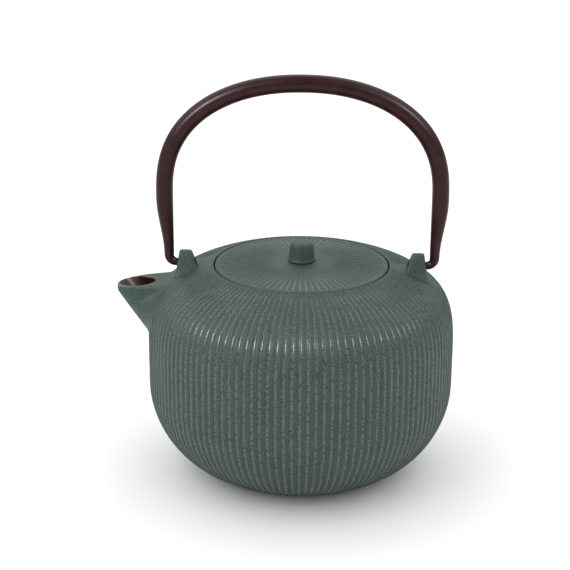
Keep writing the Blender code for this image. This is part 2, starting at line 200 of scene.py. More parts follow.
# %% Draw the section of the casting
FOOT_RECESS, FOOT_BEVEL = 1.2 * MM, 0.8 * MM
PAD_R, RING_R = 0.24 * FOOT_R, 0.74 * FOOT_R
CORNER_ROOM = 0.6 * MM  # keeps the points of a curve from crowding a corner
LEDGE_UNDER = LEDGE_Z - LEDGE_THICK
FLOOR_Z = FOOT_RECESS + WALL

section = [
    (0, 0),
    (PAD_R, 0),
    (PAD_R + FOOT_BEVEL, FOOT_RECESS),
    (RING_R - FOOT_BEVEL, FOOT_RECESS),
    (RING_R, 0),
]
section += bowl_curve(14) + shoulder_curve(30)
section += [
    (MOUTH_R + 0.45 * MM, RIM_Z - 0.02 * MM),
    (MOUTH_R, RIM_Z - 0.4 * MM),
    (MOUTH_R, LEDGE_Z),
    (LEDGE_R, LEDGE_Z),
    (LEDGE_R, LEDGE_UNDER),
    (LEDGE_R + 7.2 * MM, LEDGE_UNDER),
]
for r, z in reversed(set_in(shoulder_curve(9), WALL)):
    if z < LEDGE_UNDER - CORNER_ROOM and r > LEDGE_R + 10 * MM:
        section.append((r, z))
for r, z in reversed(set_in(bowl_curve(8), WALL)):
    if z > FLOOR_Z + CORNER_ROOM:
        section.append((r, z))
section += [(section[-1][0] - 6 * MM, FLOOR_Z), (0, FLOOR_Z)]
print("points of the section:", len(section))

# %% Spin the casting
RIBS, COLUMNS_PER_RIB = 126, 8
RIB_TURN = math.radians(-0.41)  # a groove lies close to the line through spout and lugs


def turned(name, outline, steps, angle=35):
    """Draws a section of (radius, height) points one by one and spins it round the pot's axis."""
    clear_bench()
    r, z = outline[0]
    bpy.ops.mesh.primitive_plane_add(size=0.001, location=(r, 0, z))
    piece = open_piece(name)
    bpy.ops.mesh.merge(type="CENTER")
    for (r0, z0), (r1, z1) in zip(outline, outline[1:]):
        step = {"value": (r1 - r0, 0, z1 - z0)}
        bpy.ops.mesh.extrude_vertices_move(TRANSFORM_OT_translate=step)
    bpy.ops.mesh.select_all(action="SELECT")
    bpy.ops.mesh.spin(steps=steps, angle=2 * math.pi, center=(0, 0, 0), axis=(0, 0, 1))
    return close_piece(piece, angle)


pot = turned("pot_casting", section, RIBS * COLUMNS_PER_RIB, 40)
pot.rotation_euler.z = RIB_TURN
bpy.ops.object.transform_apply(rotation=True)
report(pot)

# %% [markdown]
# ## The beak
# The spout isn't stuck on: the shoulder is drawn out into a beak, with a wide soft hollow where it
# leaves the body and a nearly flat top. Its shape is written as a distance: from the body, from an
# oval cone that is cut off along the lip, and from the two blended smoothly.

# %% Helpers for smooth blends
def ramp(x, low, high):
    """0 below low, 1 above high, and a smooth slope between."""
    u = np.clip((np.asarray(x, float) - low) / (high - low), 0, 1)
    return u * u * (3 - 2 * u)


def smooth_min(a, b, k):
    """The lower of two distances, rounded over k where they cross."""
    h = np.clip(0.5 + 0.5 * (b - a) / k, 0, 1)
    return b + (a - b) * h - k * h * (1 - h)


def smooth_max(a, b, k):
    return -smooth_min(-a, -b, k)


print("two equal distances blended over 2 mm meet at", float(smooth_min(0.0, 0.0, 2.0)), "mm")

# %% The body as a distance
skin_curve = bowl_curve(40) + shoulder_curve(60)[1:]
outer_line = np.array(skin_curve + [(MOUTH_R, RIM_Z), (0, RIM_Z)])


def from_body(p):
    """Signed distance to the body without its spout, for points (n, 3)."""
    q = np.stack([np.hypot(p[:, 0], p[:, 1]), p[:, 2]], 1)
    a, b = outer_line[:-1], outer_line[1:]
    along = b - a
    share = np.clip(((q[:, None] - a) * along).sum(2) / (along * along).sum(1), 0, 1)
    gap = q[:, None] - (a + share[..., None] * along)
    far = np.hypot(gap[..., 0], gap[..., 1])
    near = far.argmin(1)
    rows = np.arange(len(q))
    side = along[near, 0] * gap[rows, near, 1] - along[near, 1] * gap[rows, near, 0]
    return far[rows, near] * np.where(side > 0, -1, 1)


axis_point = np.array([[0, 0, BAND_HIGH]])
print("a point on the pot's axis lies", round(float(-from_body(axis_point)[0]), 4), "deep inside")

# %% The beak as a distance
AXIS_X = ROOT_X + 9.1 * MM
BEAK_FOOT_Z = ROOT_Z - 8 * MM
BEAK_HALF, BEAK_FOOT_SHARE = 11.5 * MM, 0.40
NOSE_Z, NOSE_SLOPE = 70.6 * MM, 0.69
TIP_ROUND, LIP_ROUND = 0.8 * MM, 0.9 * MM
LIP_TILT = math.tan(math.radians(4.9))
CONE_EASE = 0.86  # an oval's distance is only an estimate, so it is taken a little short
SHARP_BLEND, SOFT_BLEND = 1.6 * MM, 12 * MM


def lip_height(x):
    return TIP_Z + 0.5 * MM + LIP_TILT * (x - TIP_X)


def from_beak(p):
    """Distance to the oval cone of the spout, cut off along the lip."""
    x, y, z = p.T
    share = np.clip((z - BEAK_FOOT_Z) / (TIP_Z - BEAK_FOOT_Z), 0.02, 1)
    nose = ROOT_X - NOSE_SLOPE * (np.maximum(z, BEAK_FOOT_Z) - NOSE_Z)
    nose = smooth_max(nose, TIP_X + 0.05 * MM, TIP_ROUND)
    a = AXIS_X - nose
    b = BEAK_HALF * (BEAK_FOOT_SHARE + (1 - BEAK_FOOT_SHARE) * np.sin(share * math.pi / 2))
    u, v = (x - AXIS_X) / a, y / b
    reach = np.sqrt(u * u + v * v) + 1e-9
    cone = (reach - 1) * reach / np.sqrt((u / a) ** 2 + (v / b) ** 2 + 1e-9) * CONE_EASE
    cone = np.where(x > 0, 20 * MM, np.maximum(cone, BEAK_FOOT_Z - z))
    return smooth_max(cone, z - lip_height(x), LIP_ROUND)


def from_pot(p):
    """Body and beak blended: sharp in the middle, with a wide soft hollow at both sides."""
    side = ramp(np.abs(p[:, 1]), 1 * MM, 9 * MM)
    height = ramp(p[:, 2], 70 * MM, 84 * MM) * (1 - ramp(p[:, 2], 86 * MM, 98 * MM))
    return smooth_min(from_body(p), from_beak(p), SHARP_BLEND + SOFT_BLEND * side * height)


print("the lip is", round(lip_height(TIP_X), 4), "high at the tip")

# %% [markdown]
# ### Pushing the skin out
# The skin near the beak is subdivided, and each of its points is pushed out from inside the wall
# until it meets the blended shape. The lip is subdivided once more and settled onto the shape, so
# that its rounding is smooth.

# %% Helpers to pick and move points
def pick(test, kind="VERT"):
    """In edit mode, selects the points or faces that pass the test, and gives their number."""
    bpy.ops.mesh.select_mode(type=kind)
    bpy.ops.mesh.select_all(action="DESELECT")
    mesh = bpy.context.object.data
    bm = bmesh.from_edit_mesh(mesh)
    found = 0
    for item in bm.faces if kind == "FACE" else bm.verts:
        middle = item.calc_center_median() if kind == "FACE" else item.co
        if test(middle, item):
            item.select_set(True)
            found += 1
    bm.select_flush_mode()
    bmesh.update_edit_mesh(mesh)
    return found


def subdivide_where(piece, test, cuts):
    """Subdivides the faces whose middle passes the test."""
    choose(piece)
    bpy.ops.object.mode_set(mode="EDIT")
    found = pick(test, "FACE")
    bpy.ops.mesh.subdivide(number_cuts=cuts)
    bpy.ops.object.mode_set(mode="OBJECT")
    print(f"faces subdivided on {piece.name}: {found}")


def points_of(piece):
    co = np.empty(len(piece.data.vertices) * 3)
    piece.data.vertices.foreach_get("co", co)
    return co.reshape(-1, 3)


def put_points(piece, co):
    piece.data.vertices.foreach_set("co", np.ascontiguousarray(co, float).ravel())
    piece.data.update()


print("points of the casting:", len(points_of(pot)))

# %% Push the skin out into the beak
SKIN_R = 52 * MM  # the body's skin is further out than this, and the mouth and ledge are not
CORE_R, CORE_Z = 60 * MM, 78 * MM
PUSHES, PUSH_SHARE = 45, 0.9


def near_beak(c, item):
    sector = c.x < 0 and abs(math.atan2(c.y, -c.x)) < math.radians(19)
    skin = math.hypot(c.x, c.y) > SKIN_R and 60 * MM < c.z < 108 * MM
    return sector and skin and abs(from_body(np.array([c]))[0]) < 0.6 * MM


subdivide_where(pot, near_beak, 1)
co = points_of(pot)
sector = np.abs(np.arctan2(co[:, 1], -co[:, 0])) < math.radians(19.5)
skin = np.where(sector & (co[:, 2] > 59 * MM) & (np.hypot(co[:, 0], co[:, 1]) > SKIN_R))[0]
skin = skin[np.abs(from_body(co[skin])) < 0.3 * MM]
p = co[skin].copy()
away = np.stack([p[:, 0], p[:, 1], np.zeros(len(p))], 1)
away /= np.linalg.norm(away, axis=1)[:, None]
push = p - (away * CORE_R + np.array([0, 0, CORE_Z]))
push /= np.linalg.norm(push, axis=1)[:, None]
for _ in range(PUSHES):
    p += push * (-from_pot(p) * PUSH_SHARE).clip(0)[:, None]
co[skin] = p
put_points(pot, co)
print("points pushed out:", len(skin))

# %% Smooth the lip
def near_lip(c, item):
    return c.x < -77 * MM and abs(c.z - lip_height(c.x)) < 2.6 * MM and abs(c.y) < 15 * MM


def settle(p, rounds=6, h=0.05 * MM):
    """Moves points straight to the smooth shape along its slope."""
    for _ in range(rounds):
        d = from_pot(p)
        slope = np.stack([(from_pot(p + h * axis) - d) / h for axis in np.eye(3)], 1)
        p = p - (d / (slope * slope).sum(1).clip(0.05))[:, None] * slope
    return p


subdivide_where(pot, near_lip, 2)
co = points_of(pot)
level_with_lip = np.abs(co[:, 2] - lip_height(co[:, 0])) < 3.5 * MM
lip = np.where((co[:, 0] < -76 * MM) & level_with_lip & (np.abs(co[:, 1]) < 17 * MM))[0]
lip = lip[np.abs(from_pot(co[lip])) < 1.5 * MM]
co[lip] = settle(co[lip])
put_points(pot, co)
report(pot)

# %% [markdown]
# ## The grooves
# The ribs were cut into the pattern that pressed the sand, so their crests lie on the body's own
# curve and the grooves between them are cut inwards. A vertex group holds how deep each point goes:
# the floor of a groove fully, its sides partly, a crest not at all. It fades to nothing near the
# mouth, under the foot, round the lugs and over the beak, where the real pot is smooth. The
# Displace modifier then moves the points.

# %% Helpers for grooves
GROOVE_DEPTH = 0.50 * MM
GROOVE = np.array([1.0, 1.0, 0.30, 0.06, 0.0, 0.06, 0.30, 1.0])  # column by column, 1 is the floor


def groove_share(p, count=RIBS, profile=GROOVE, start=RIB_TURN):
    """How deep in a groove each point is, read between the columns of the spin."""
    around = (np.arctan2(p[:, 1], p[:, 0]) - start) / (2 * math.pi) % 1
    place = around * count * len(profile)
    low = np.floor(place + 1e-6).astype(int)
    part = place - low
    return profile[low % len(profile)] * (1 - part) + profile[(low + 1) % len(profile)] * part


def run_modifier(piece, kind, **settings):
    """Adds a modifier with its settings and applies it at once."""
    choose(piece)
    step = piece.modifiers.new(kind.title(), kind)
    for key, value in settings.items():
        setattr(step, key, value)
    bpy.ops.object.modifier_apply(modifier=step.name)


def cut_grooves(piece, share, depth):
    """Sinks each point by its share of the depth."""
    group = piece.vertex_groups.new(name="groove depth")
    for level in range(1, 101):
        chosen = np.where(np.round(share * 100) == level)[0]
        if len(chosen):
            group.add(chosen.tolist(), level / 100, "REPLACE")
    sink = {"strength": -depth, "mid_level": 0.0, "direction": "NORMAL"}
    run_modifier(piece, "DISPLACE", vertex_group=group.name, **sink)
    piece.vertex_groups.clear()
    print(f"points in the grooves of {piece.name}: {int((share > 0.5).sum())}")


print("a rib and its groove are", round(2 * math.pi * BODY_R / RIBS / MM, 2), "mm wide on the band")

# %% Cut the grooves of the pot
def ribbed(p):
    """1 where the body carries ribs, 0 where it is smooth."""
    r = np.hypot(p[:, 0], p[:, 1])
    mouth = np.where(p[:, 2] > 90 * MM, ramp(r, 46.9 * MM, 48.6 * MM), 1)
    foot = np.where(p[:, 2] < 20 * MM, ramp(r, 43.5 * MM, 46.5 * MM), 1)
    beak = np.hypot(p[:, 1] / (21 * MM), (p[:, 2] - 91 * MM) / (25 * MM))
    beak = np.where(p[:, 0] < 0, ramp(beak, 0.80, 1.12), 1)
    lugs = np.hypot((np.abs(p[:, 0]) - 58 * MM) / (11.5 * MM), p[:, 1] / (9.0 * MM))
    lugs = np.where(p[:, 2] > 92 * MM, ramp(lugs, 0.85, 1.25), 1)
    return mouth * foot * beak * lugs


co = points_of(pot)
outside = np.abs(from_body(co)) < 0.25 * MM
depth = np.zeros(len(co))
depth[outside] = groove_share(co[outside]) * ribbed(co[outside])
cut_grooves(pot, depth, GROOVE_DEPTH)

# %% [markdown]
# ## The lugs
# Two stubby ears stand on the shoulder in line with the spout, and the handle's ends turn in them.
# They lean inwards a little and widen at the foot, which is what lets a pattern be drawn out of
# sand. Each starts as a flat plate the size of its top, whose corners are rounded before it is
# drawn down ring by ring.

# %% Make the lugs
LUG_TOP = PIVOT_Z - 4.7 * MM + 10.9 * MM
SQUARENESS = 0.3  # the power that turns a circle into a square with rounded corners
# each ring: how far down, half its length, half its width, how far outwards, in millimetres
LUG_RINGS = [
    (0.0, 2.25, 1.45, -0.15),
    (0.25, 2.85, 1.95, -0.15),
    (0.8, 3.25, 2.35, -0.17),
    (3.2, 3.85, 2.95, -0.40),
    (6.0, 4.62, 3.7, -0.68),
    (8.6, 5.30, 4.4, -0.93),
    (10.2, 5.80, 4.95, -1.12),
    (11.6, 6.45, 5.6, -1.35),
    (13.4, 7.25, 6.4, -1.65),
]


def new_disc(name, vertices, radius=1.0, location=(0, 0, 0), rotation=(0, 0, 0)):
    clear_bench()
    place = {"location": location, "rotation": rotation}
    bpy.ops.mesh.primitive_circle_add(vertices=vertices, radius=radius, fill_type="NGON", **place)
    return open_piece(name)


def draw_ring(move, scale):
    """Extrudes what is selected along a move, then scales the new ring."""
    bpy.ops.mesh.extrude_region_move(TRANSFORM_OT_translate={"value": move})
    bpy.ops.transform.resize(value=scale)


def make_lug(side, name):
    _, half_x, half_y, shift = LUG_RINGS[0]
    lug = new_disc(name, 64, location=(side * (LUG_X + shift * MM), 0, LUG_TOP))
    bm = bmesh.from_edit_mesh(lug.data)
    for v in bm.verts:
        angle = math.atan2(v.co.y, v.co.x)
        c, s = math.cos(angle), math.sin(angle)
        v.co.x = math.copysign(abs(c) ** SQUARENESS, c)
        v.co.y = math.copysign(abs(s) ** SQUARENESS, s)
    bmesh.update_edit_mesh(lug.data)
    bpy.ops.transform.resize(value=(half_x * MM, half_y * MM, 1))
    for (d0, x0, y0, s0), (d1, x1, y1, s1) in zip(LUG_RINGS, LUG_RINGS[1:]):
        draw_ring((side * (s1 - s0) * MM, 0, -(d1 - d0) * MM), (x1 / x0, y1 / y0, 1))
    return close_piece(lug, 50)


lug_front, lug_back = make_lug(-1, "lug_by_spout"), make_lug(1, "lug_at_rear")
report(lug_front)

# %% [markdown]
# ## The openings
# The spout's channel is an oval plug drawn down from above the lip, leaning with the beak, and the
# lugs' holes are short round bars. Both are subtracted with the Boolean modifier, after the lugs
# are joined to the casting with it.

# %% Make the tools that cut
CHANNEL_HALF_LONG, CHANNEL_HALF_WIDE = 9.7 * MM, 7.6 * MM
CHANNEL_LEAN = (TIP_X - ROOT_X) / (TIP_Z - ROOT_Z) * 1.16
mouth_x = TIP_X + 0.6 * MM + CHANNEL_HALF_LONG
mouth_z = lip_height(mouth_x)
# each ring: how much wider at the ends, at the sides, moved along x, moved down, in millimetres
CHANNEL_RINGS = [
    (0.4, 0.4, 0, 0),
    (0.2, 0.2, 0, 4.0),
    (-0.2, -0.2, 0.2, 0.4),
    (-0.6, -0.5, -CHANNEL_LEAN * 2.4, 2.4),
    (-1.0, -1.0, -CHANNEL_LEAN * 7, 7),
    (-1.4, -1.6, -CHANNEL_LEAN * 17, 17),
]


def make_channel():
    rings = []
    for long, wide, along, down in CHANNEL_RINGS:
        half = (CHANNEL_HALF_LONG + long * MM, CHANNEL_HALF_WIDE + wide * MM)
        rings.append((*half, along * MM, -down * MM))
    tool = new_disc("spout_channel", 72, location=(mouth_x, 0, mouth_z + 4 * MM))
    bpy.ops.transform.resize(value=(rings[0][0], rings[0][1], 1))
    for (a0, b0, _, _), (a1, b1, dx, dz) in zip(rings, rings[1:]):
        draw_ring((dx, 0, dz), (a1 / a0, b1 / b0, 1))
    return close_piece(tool)


def lug_drill(side, name):
    clear_bench()
    place = {"location": (side * (LUG_X + 0.4 * MM), 0, PIVOT_Z), "rotation": (0, math.pi / 2, 0)}
    bpy.ops.mesh.primitive_cylinder_add(vertices=32, radius=2.35 * MM, depth=13.2 * MM, **place)
    return close_piece(open_piece(name))


channel = make_channel()
drill_front, drill_back = lug_drill(-1, "drill_by_spout"), lug_drill(1, "drill_at_rear")
report(channel)

# %% Join the lugs and cut the openings
joins = [(lug, "UNION") for lug in (lug_front, lug_back)]
cuts = [(tool, "DIFFERENCE") for tool in (channel, drill_front, drill_back)]
for other, operation in joins + cuts:
    run_modifier(pot, "BOOLEAN", operation=operation, object=other, solver="MANIFOLD")
    bpy.data.objects.remove(other)
choose(pot)
bpy.ops.object.shade_smooth_by_angle(angle=math.radians(40))
report(pot)

# %% [markdown]
# ## The lid
# The lid is a shallow dome with 76 fine grooves like the rays of a flower. A groove starts at full
# depth a few millimetres in from the edge and dies out towards the knob. Under the lid a short
# skirt keeps it in the mouth.

# %% Spin the lid
RAYS = 76
LID_RISE, LID_THICK = 1.6 * MM, 3.7 * MM
RIVET_HOLE_R = 2.1 * MM
SKIRT_R, SKIRT_DEEP, SKIRT_THICK, SKIRT_BEVEL = 36.9 * MM, 4.8 * MM, 2.2 * MM, 0.5 * MM
LID_UNDER = RIM_Z - LID_THICK
RAY_START, RAY_STEPS = 7 * MM, 22


def lid_top(r):
    return RIM_Z + LID_RISE * (1 - (r / LID_R) ** 2)


ray_length = LID_R - 3.2 * MM - RAY_START
radii = [RIVET_HOLE_R] + [RAY_START + ray_length * k / RAY_STEPS for k in range(RAY_STEPS + 1)]
radii += [LID_R - 2.75 * MM, LID_R - 2.4 * MM, LID_R - 2.0 * MM, LID_R - 1.2 * MM]
lid_section = [(r, lid_top(r)) for r in radii] + [
    (LID_R - 0.55 * MM, RIM_Z + 0.02 * MM),
    (LID_R - 0.15 * MM, RIM_Z - 0.2 * MM),
    (LID_R, RIM_Z - 0.6 * MM),
    (LID_R, LID_UNDER + 0.5 * MM),
    (LID_R - 0.5 * MM, LID_UNDER),
    (SKIRT_R, LID_UNDER),
    (SKIRT_R, LID_UNDER - SKIRT_DEEP + SKIRT_BEVEL),
    (SKIRT_R - SKIRT_BEVEL, LID_UNDER - SKIRT_DEEP),
    (SKIRT_R - SKIRT_THICK + 0.4 * MM, LID_UNDER - SKIRT_DEEP),
    (SKIRT_R - SKIRT_THICK, LID_UNDER - SKIRT_DEEP + SKIRT_BEVEL),
]
for r in (SKIRT_R - SKIRT_THICK, 24 * MM, 12 * MM, RIVET_HOLE_R):
    lid_section.append((r, lid_top(r) - LID_THICK))
lid_section.append((RIVET_HOLE_R, lid_top(RIVET_HOLE_R)))
RAY = np.array([1.0, 0.92, 0.12, 0.0, 0.0, 0.0, 0.12, 0.92])
lid = turned("lid_casting", lid_section, RAYS * len(RAY), 40)
report(lid)

# %% Cut its rays
RAY_DEPTH = 0.46 * MM


def ray_share(p):
    """The share of a ray's depth, fading towards the knob and ending short of the edge."""
    r = np.hypot(p[:, 0], p[:, 1])
    inner, outer = ramp(r, 12 * MM, 25 * MM), 1 - ramp(r, LID_R - 2.9 * MM, LID_R - 2.3 * MM)
    return groove_share(p, RAYS, RAY, 0) * inner * outer


co = points_of(lid)
on_top = np.abs(co[:, 2] - lid_top(np.hypot(co[:, 0], co[:, 1]))) < 0.05 * MM
cut_grooves(lid, np.where(on_top, ray_share(co), 0), RAY_DEPTH)

# %% [markdown]
# ## The knob
# A plain tapered knob, cast with a soft edge round its flat top and a thin flange at its foot, so
# that it looks seated on the lid. It is bored from below for the rivet that holds it.

# %% Spin the knob
knob_low, knob_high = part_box("lid_knob")
KNOB_BASE, KNOB_TOP, KNOB_HALF = knob_low.z, knob_high.z, knob_high.x
BORE_R, BORE_DEEP = 2.1 * MM, 5.94 * MM
knob_section = [(0, KNOB_BASE + BORE_DEEP), (BORE_R, KNOB_BASE + BORE_DEEP), (BORE_R, KNOB_BASE)]
# the flange: how far inside the knob's widest radius, how high above its base, in millimetres
for less, up in [(0.25, 0), (0, 0.25), (0.05, 0.6), (0.28, 0.95)]:
    knob_section.append((KNOB_HALF - less * MM, KNOB_BASE + up * MM))
# the tapered side and the soft edge: radius and height above the base, in millimetres
KNOB_SIDE = [(6.62, 1.3), (6.52, 2.0), (6.30, 4.5), (6.08, 7.4), (5.98, 8.5), (5.80, 9.12)]
KNOB_SIDE += [(5.42, 9.60), (4.90, 9.82), (4.2, 9.88)]
knob_section += [(r * MM, KNOB_BASE + up * MM) for r, up in KNOB_SIDE]
knob_section += [(2.0 * MM, KNOB_TOP), (0, KNOB_TOP)]
knob = turned("knob_casting", knob_section, 72, 60)
report(knob)

# %% [markdown]
# ## The bail handle
# The handle is a steel tube, rolled from strip so that a fine seam runs along the inside of the
# bend, swaged thin at both ends and bent round a former. It is made the same way: a straight tube
# is drawn out ring by ring, with its seam, and a Curve modifier bends it. The path is drawn lying
# flat and then stood up.

# %% The path of the bail
LEG_IN = LUG_X + 5.7 * MM
GRIP_RISE = 93.1 * MM
SPRING_Z = PIVOT_Z + 0.393 * GRIP_RISE
LEG_END_Z = PIVOT_Z + 4.2 * MM
END_D, LEG_D, GRIP_D = 5.0 * MM, 8.64 * MM, 9.0 * MM
SWAGE_SHARE = 0.93  # the part of the leg over which the tube grows to its full width
ARCH_WIDE_POWER, ARCH_TALL_POWER = 2 / 2.15, 2 / 2.40  # 1 and 1 would be a plain ellipse
LEG_STEPS, ARCH_STEPS = 14, 72


def bail_path():
    """(x, z, radius) from the spout's side to the rear."""
    left = []
    for i in range(LEG_STEPS):
        z = LEG_END_Z + (SPRING_Z - LEG_END_Z) * i / LEG_STEPS
        grown = float(ramp(z, LEG_END_Z, LEG_END_Z + SWAGE_SHARE * (SPRING_Z - LEG_END_Z)))
        d = END_D + (LEG_D - END_D) * grown
        left.append((-(LEG_IN + d / 2), z, d / 2))
    half_span, rise = LEG_IN + LEG_D / 2, PIVOT_Z + GRIP_RISE - SPRING_Z
    path = list(left)
    for i in range(ARCH_STEPS + 1):
        c, s = math.cos(math.pi * i / ARCH_STEPS), math.sin(math.pi * i / ARCH_STEPS)
        x = -half_span * math.copysign(abs(c) ** ARCH_WIDE_POWER, c)
        d = LEG_D + (GRIP_D - LEG_D) * float(ramp(2 * s, 0, 1))
        path.append((x, SPRING_Z + rise * abs(s) ** ARCH_TALL_POWER, d / 2))
    return path + [(-x, z, r) for x, z, r in reversed(left)]


print("rings along the bail:", len(bail_path()))

# %% Draw a rod and bend it
def straight_rod(name, path, lengths, sides, seam):
    """A rod drawn ring by ring along X; seam is how far one of its edges is sunk, of the radius."""
    rod = new_disc(name, sides, path[0][2], rotation=(0, math.pi / 2, 0))
    bm = bmesh.from_edit_mesh(rod.data)
    inner_edge = min(bm.verts, key=lambda v: (rod.matrix_world @ v.co).y)
    inner_edge.co *= 1 - seam
    bmesh.update_edit_mesh(rod.data)
    for s0, s1, p0, p1 in zip(lengths, lengths[1:], path, path[1:]):
        wider = p1[2] / p0[2]
        draw_ring((s1 - s0, 0, 0), (1, wider, wider))
    return close_piece(rod, 50, weld=1e-9)


def former(name, path):
    """The curve that the rod is bent along."""
    line = bpy.data.curves.new(name, "CURVE")
    line.dimensions = "2D"
    line.splines.new("POLY").points.add(len(path) - 1)
    for point, (x, z, _) in zip(line.splines[0].points, path):
        point.co = (x, z, 0, 1)
    made = bpy.data.objects.new(name, line)
    bpy.context.scene.collection.objects.link(made)
    return made


def bent_rod(name, path, sides, seam=0.0):
    """A rod bent along a path of (x, z, radius) and stood up."""
    lengths = [0.0]
    for (x0, z0, _), (x1, z1, _) in zip(path, path[1:]):
        lengths.append(lengths[-1] + math.hypot(x1 - x0, z1 - z0))
    rod = straight_rod(name, path, lengths, sides, seam)
    line = former(name + "_former", path)
    run_modifier(rod, "CURVE", object=line, deform_axis="POS_X")
    bpy.data.objects.remove(line)
    rod.rotation_euler = (math.pi / 2, 0, 0)
    choose(rod)
    bpy.ops.object.mode_set(mode="EDIT")
    return close_piece(rod, 40, weld=1e-8)


tube = bent_rod("bail_grip", bail_path(), 40, seam=0.10)
report(tube)

# %% Bend the two ends of the bail
BEND_R, BEND_STEPS = 3.8 * MM, 12
END_R, PIN_R = 2.48 * MM, 2.0 * MM
# the rounded tip of a pin: how far inside the lug's middle, and its radius, in millimetres
PIN_TIP = [(3.3, 2.0), (3.9, 1.75), (4.25, 1.2)]


def end_path(side):
    x_end = LEG_IN + END_D / 2
    path = [(x_end, LEG_END_Z - 0.02 * MM, END_R)]
    for k in range(1, BEND_STEPS + 1):
        a = math.pi / 2 * k / BEND_STEPS
        x = x_end - BEND_R + BEND_R * math.cos(a)
        z = PIVOT_Z + BEND_R - BEND_R * math.sin(a)
        path.append((x, z, END_R - (END_R - PIN_R) * k / BEND_STEPS))
    path += [(LUG_X - inside * MM, PIVOT_Z, r * MM) for inside, r in PIN_TIP]
    return [(side * x, z, r) for x, z, r in path]


end_front = bent_rod("bail_end_by_spout", end_path(-1), 24)
end_back = bent_rod("bail_end_at_rear", end_path(1), 24)
report(end_front)

# %% [markdown]
# ## The strainer basket
# A basket of thin stainless sheet hangs on the ledge inside the mouth: a rolled flange with a
# collar, a perforated sleeve and a perforated cup under it. Each hole is made once: a sheet of
# small squares is inset square by square and the middles are taken out, then the corners of the
# holes are cut.

# %% Punch the sleeve and roll it
SHEET = 0.7 * MM
HOLE_EDGE = 2.1 * MM  # an edge of a hole is shorter than this
SLEEVE_AROUND, SLEEVE_UP = 96, 15
wall_low, wall_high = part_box("infuser_wall")


def punch_holes(where, rim, corner):
    """Insets the faces that pass the test, takes their middles out and cuts the holes' corners."""

    def is_corner(c, v):
        short = all(edge.calc_length() < HOLE_EDGE for edge in v.link_edges)
        return v.is_boundary and short and len(v.link_edges) == 3

    pick(where, "FACE")
    bpy.ops.mesh.inset(thickness=rim, use_individual=True)
    bpy.ops.mesh.delete(type="FACE")
    pick(is_corner)
    bpy.ops.mesh.bevel(offset=corner, affect="VERTICES", segments=2)


def make_sleeve():
    low, high = wall_low.z, wall_high.z
    step = (high - low) / SLEEVE_UP
    clear_bench()
    grid = {"x_subdivisions": SLEEVE_AROUND, "y_subdivisions": SLEEVE_UP, "size": 1}
    bpy.ops.mesh.primitive_grid_add(rotation=(math.pi / 2, 0, 0), **grid)
    sleeve = open_piece("strainer_sleeve")
    bpy.ops.transform.resize(value=(2 * math.pi * wall_high.x, 1, high - low))
    bpy.ops.transform.translate(value=(0, 0, (high + low) / 2))
    bpy.ops.object.mode_set(mode="OBJECT")
    bpy.ops.object.transform_apply(location=True, rotation=True, scale=True)
    bpy.ops.object.mode_set(mode="EDIT")
    punch_holes(lambda c, f: low + 2 * step < c.z < high - 3 * step, 0.55 * MM, 0.33 * MM)
    bpy.ops.object.mode_set(mode="OBJECT")
    roll = {"deform_method": "BEND", "deform_axis": "Z", "angle": 2 * math.pi}
    run_modifier(sleeve, "SIMPLE_DEFORM", **roll)
    co = points_of(sleeve)
    co[:, :2] -= (co.min(0)[:2] + co.max(0)[:2]) / 2
    put_points(sleeve, co)
    bpy.ops.object.mode_set(mode="EDIT")
    close_piece(sleeve, 30, weld=0.02 * MM)
    run_modifier(sleeve, "SOLIDIFY", thickness=SHEET, offset=-1.0, use_even_offset=True)
    return sleeve


sleeve = make_sleeve()
report(sleeve)

# %% Draw and punch the cup
CUP_AROUND, CUP_MIDDLE_R, CUP_EDGE_RISE = 72, 2.2 * MM, 0.55 * MM
cup_low, cup_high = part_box("infuser_base")


def punched(c, f):
    """All squares of the outer rings, every second one of the inner; z starts at the floor."""
    out = math.hypot(c.x, c.y)
    place = round(math.degrees(math.atan2(c.y, c.x)) / 5 - 0.5)
    outer, inner = 21 * MM < out < 33 * MM, 11 * MM < out < 21 * MM
    return abs(c.z) < 1 * MM and (outer or (inner and place % 2 == 0))


def make_cup():
    radius, now = cup_high.x, CUP_MIDDLE_R
    cup = new_disc("strainer_cup", CUP_AROUND, CUP_MIDDLE_R, location=(0, 0, cup_low.z))
    bpy.ops.mesh.select_mode(type="EDGE")
    bpy.ops.mesh.select_all(action="SELECT")
    rings = [((4.6 + 3.2 * k) * MM, 0) for k in range(10)]
    rings += [(radius - 0.9 * MM, 0), (radius - 0.25 * MM, 0), (radius, CUP_EDGE_RISE)]
    rings.append((radius, cup_high.z - cup_low.z - CUP_EDGE_RISE))
    for r, lift in rings:
        bpy.ops.mesh.extrude_edges_move(TRANSFORM_OT_translate={"value": (0, 0, lift)})
        bpy.ops.transform.resize(value=(r / now, r / now, 1))
        now = r
    punch_holes(punched, 0.45 * MM, 0.25 * MM)
    close_piece(cup, 30, weld=0.01 * MM)
    if cup.data.polygons[0].normal.z > 0:
        cup.data.flip_normals()
    run_modifier(cup, "SOLIDIFY", thickness=SHEET, offset=-1.0, use_even_offset=True)
    return cup


cup = make_cup()
report(cup)

# %% Roll the collar
# radius and height of its section, in millimetres: up the inside, over the flange, down the outside
COLLAR = [(37.6, 92.4), (37.6, 103.9), (37.75, 104.3), (38.2, 104.5), (42.25, 104.5)]
COLLAR += [(42.52, 104.38), (42.6, 104.15), (42.52, 103.92), (42.25, 103.8), (38.7, 103.8)]
COLLAR += [(38.42, 103.7), (38.3, 103.4), (38.3, 92.45), (38.2, 92.3), (37.7, 92.3), (37.6, 92.4)]
collar = turned("strainer_collar", [(r * MM, z * MM) for r, z in COLLAR], 120, 40)
report(collar)

